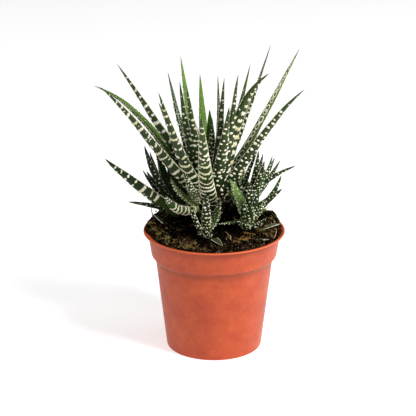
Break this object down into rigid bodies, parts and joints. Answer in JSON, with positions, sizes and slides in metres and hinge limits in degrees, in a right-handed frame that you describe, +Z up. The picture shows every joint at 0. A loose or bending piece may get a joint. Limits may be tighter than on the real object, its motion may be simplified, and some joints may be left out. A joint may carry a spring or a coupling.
{
  "type": "potted haworthia",
  "caption": "Clump-forming succulent with stiff pointed leaves crossed by raised white bands, with offsets round its stem, in a small round plastic nursery pot.",
  "frame": {"origin": "middle of the pot's underside, on the surface that the pot stands on", "axes": "+Z up along the pot's axis, +X to the viewer's right, and -Y towards the viewer, who sees the front of the plant"},
  "size_m": [0.1315, 0.1045, 0.1953],
  "materials": {
    "pot_plastic": "satin",
    "peat": "matte",
    "leaf": "satin",
    "young_leaf": "satin",
    "withered_leaf": "matte"
  },
  "bodies": {
    "root": {"pot": "pot_plastic", "soil": "peat", "mother_rosette": "leaf", "offset_left": "young_leaf", "offset_front": "young_leaf", "offset_right_front": "young_leaf", "offset_right_back": "young_leaf", "offset_back": "young_leaf", "offset_back_left": "young_leaf", "fallen_leaf": "withered_leaf"}
  },
  "joints": []
}
